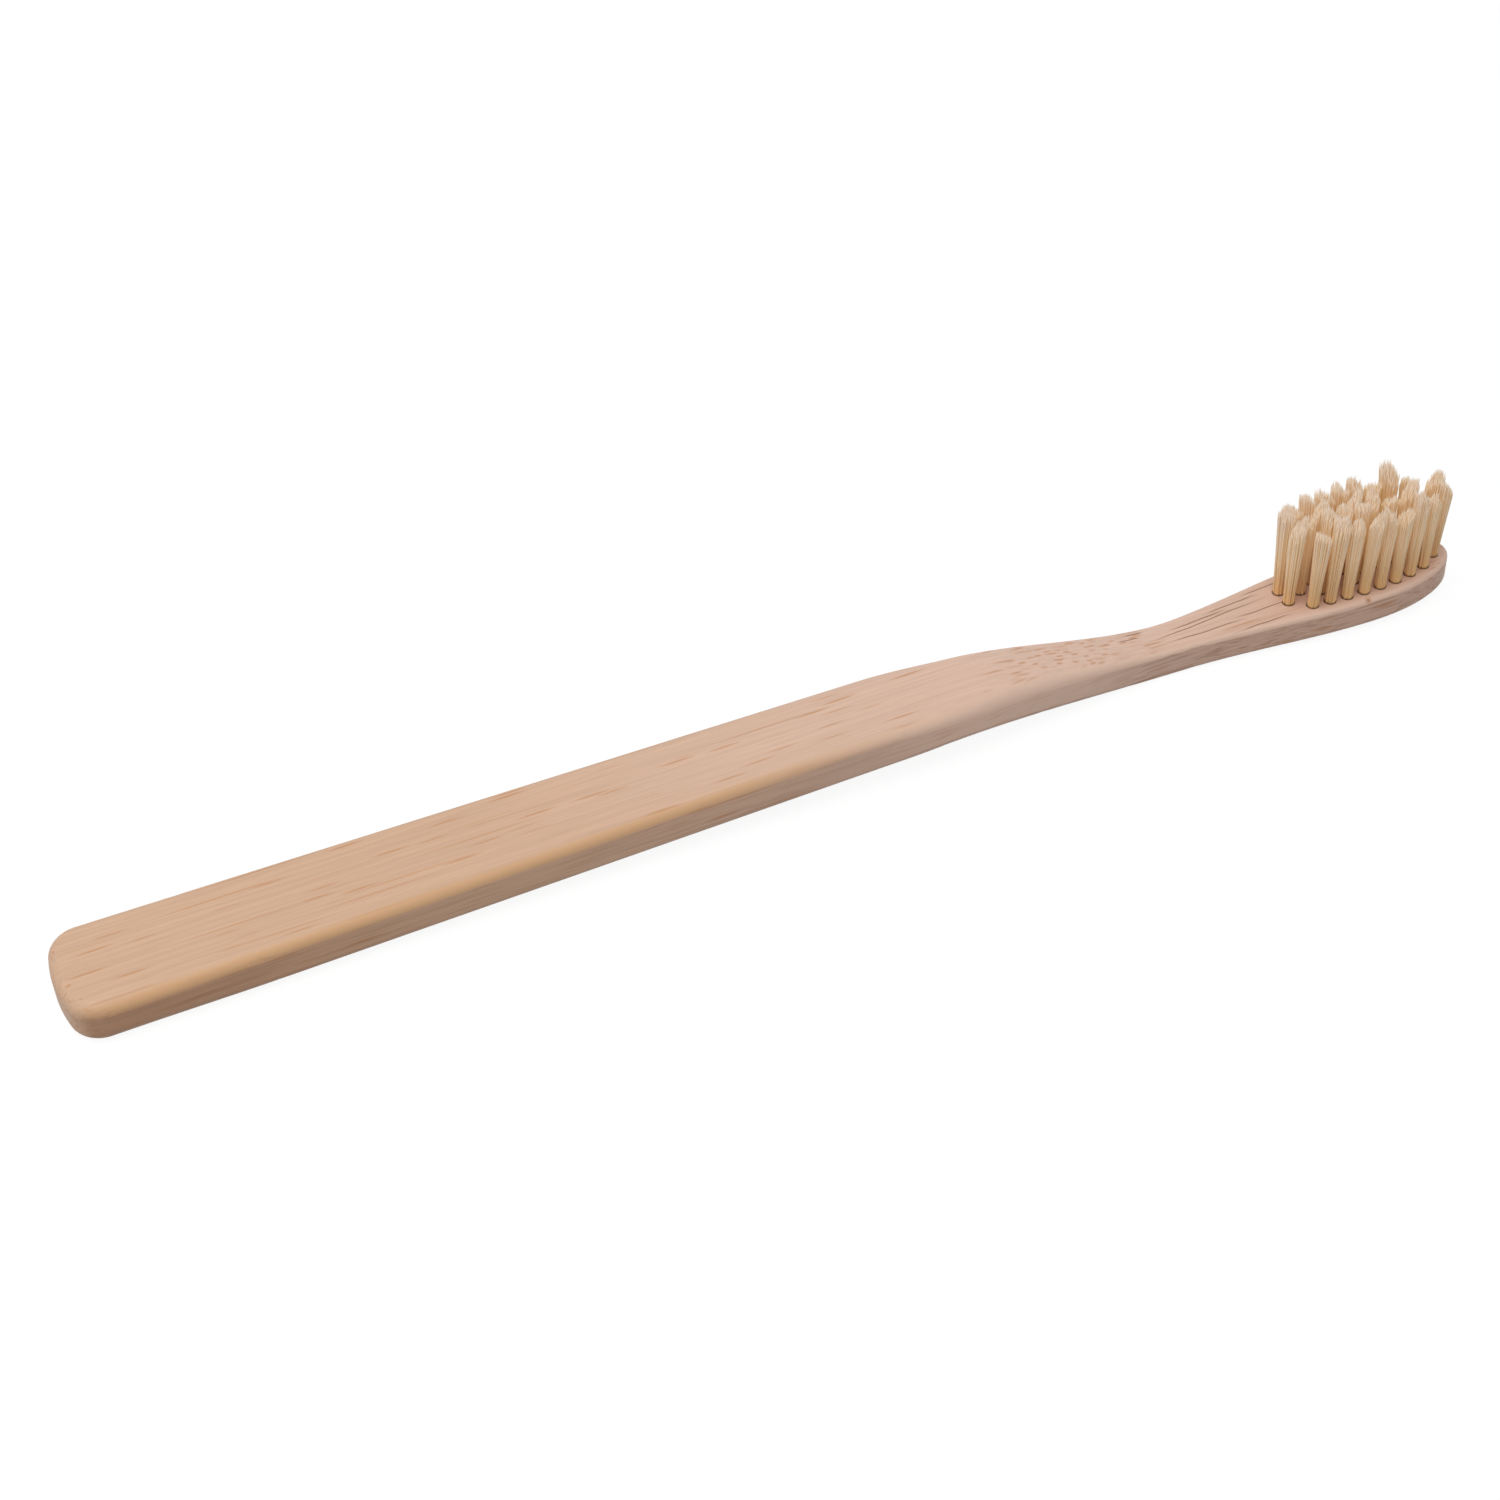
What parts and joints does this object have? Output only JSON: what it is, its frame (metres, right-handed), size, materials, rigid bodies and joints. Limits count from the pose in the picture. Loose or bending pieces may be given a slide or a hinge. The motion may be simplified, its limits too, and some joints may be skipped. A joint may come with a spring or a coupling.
{
  "type": "manual toothbrush",
  "caption": "Manual toothbrush with a flat bamboo handle that steps down to a waisted neck and an oval drilled head of cream bristle tufts.",
  "frame": {"origin": "under the middle of the brush, level with the flat back of the head, which is its lowest face", "axes": "+X from the butt of the handle to the tip of the head, +Z the bristle side"},
  "size_m": [0.189, 0.0152, 0.0184],
  "materials": {
    "bamboo": "pale bamboo, sanded and lightly waxed",
    "bristle": "cream natural bristle",
    "anchor_metal": "plain flat wire"
  },
  "bodies": {
    "root": {"bamboo_handle": "bamboo", "bristle_tuft_01_1": "bristle", "bristle_tuft_01_2": "bristle", "bristle_tuft_02_1": "bristle", "bristle_tuft_02_2": "bristle", "bristle_tuft_02_3": "bristle", "bristle_tuft_03_1": "bristle", "bristle_tuft_03_2": "bristle", "bristle_tuft_03_3": "bristle", "bristle_tuft_03_4": "bristle", "bristle_tuft_04_1": "bristle", "bristle_tuft_04_2": "bristle", "bristle_tuft_04_3": "bristle", "bristle_tuft_05_1": "bristle", "bristle_tuft_05_2": "bristle", "bristle_tuft_05_3": "bristle", "bristle_tuft_05_4": "bristle", "bristle_tuft_06_1": "bristle", "bristle_tuft_06_2": "bristle", "bristle_tuft_06_3": "bristle", "bristle_tuft_07_1": "bristle", "bristle_tuft_07_2": "bristle", "bristle_tuft_07_3": "bristle", "bristle_tuft_08_1": "bristle", "bristle_tuft_08_2": "bristle", "bristle_tuft_08_3": "bristle", "bristle_tuft_09_1": "bristle", "bristle_tuft_09_2": "bristle", "bristle_tuft_10_1": "bristle", "bristle_tuft_10_2": "bristle", "tuft_anchor_01_1": "anchor_metal", "tuft_anchor_01_2": "anchor_metal", "tuft_anchor_02_1": "anchor_metal", "tuft_anchor_02_2": "anchor_metal", "tuft_anchor_02_3": "anchor_metal", "tuft_anchor_03_1": "anchor_metal", "tuft_anchor_03_2": "anchor_metal", "tuft_anchor_03_3": "anchor_metal", "tuft_anchor_03_4": "anchor_metal", "tuft_anchor_04_1": "anchor_metal", "tuft_anchor_04_2": "anchor_metal", "tuft_anchor_04_3": "anchor_metal", "tuft_anchor_05_1": "anchor_metal", "tuft_anchor_05_2": "anchor_metal", "tuft_anchor_05_3": "anchor_metal", "tuft_anchor_05_4": "anchor_metal", "tuft_anchor_06_1": "anchor_metal", "tuft_anchor_06_2": "anchor_metal", "tuft_anchor_06_3": "anchor_metal", "tuft_anchor_07_1": "anchor_metal", "tuft_anchor_07_2": "anchor_metal", "tuft_anchor_07_3": "anchor_metal", "tuft_anchor_08_1": "anchor_metal", "tuft_anchor_08_2": "anchor_metal", "tuft_anchor_08_3": "anchor_metal", "tuft_anchor_09_1": "anchor_metal", "tuft_anchor_09_2": "anchor_metal", "tuft_anchor_10_1": "anchor_metal", "tuft_anchor_10_2": "anchor_metal"}
  },
  "joints": []
}
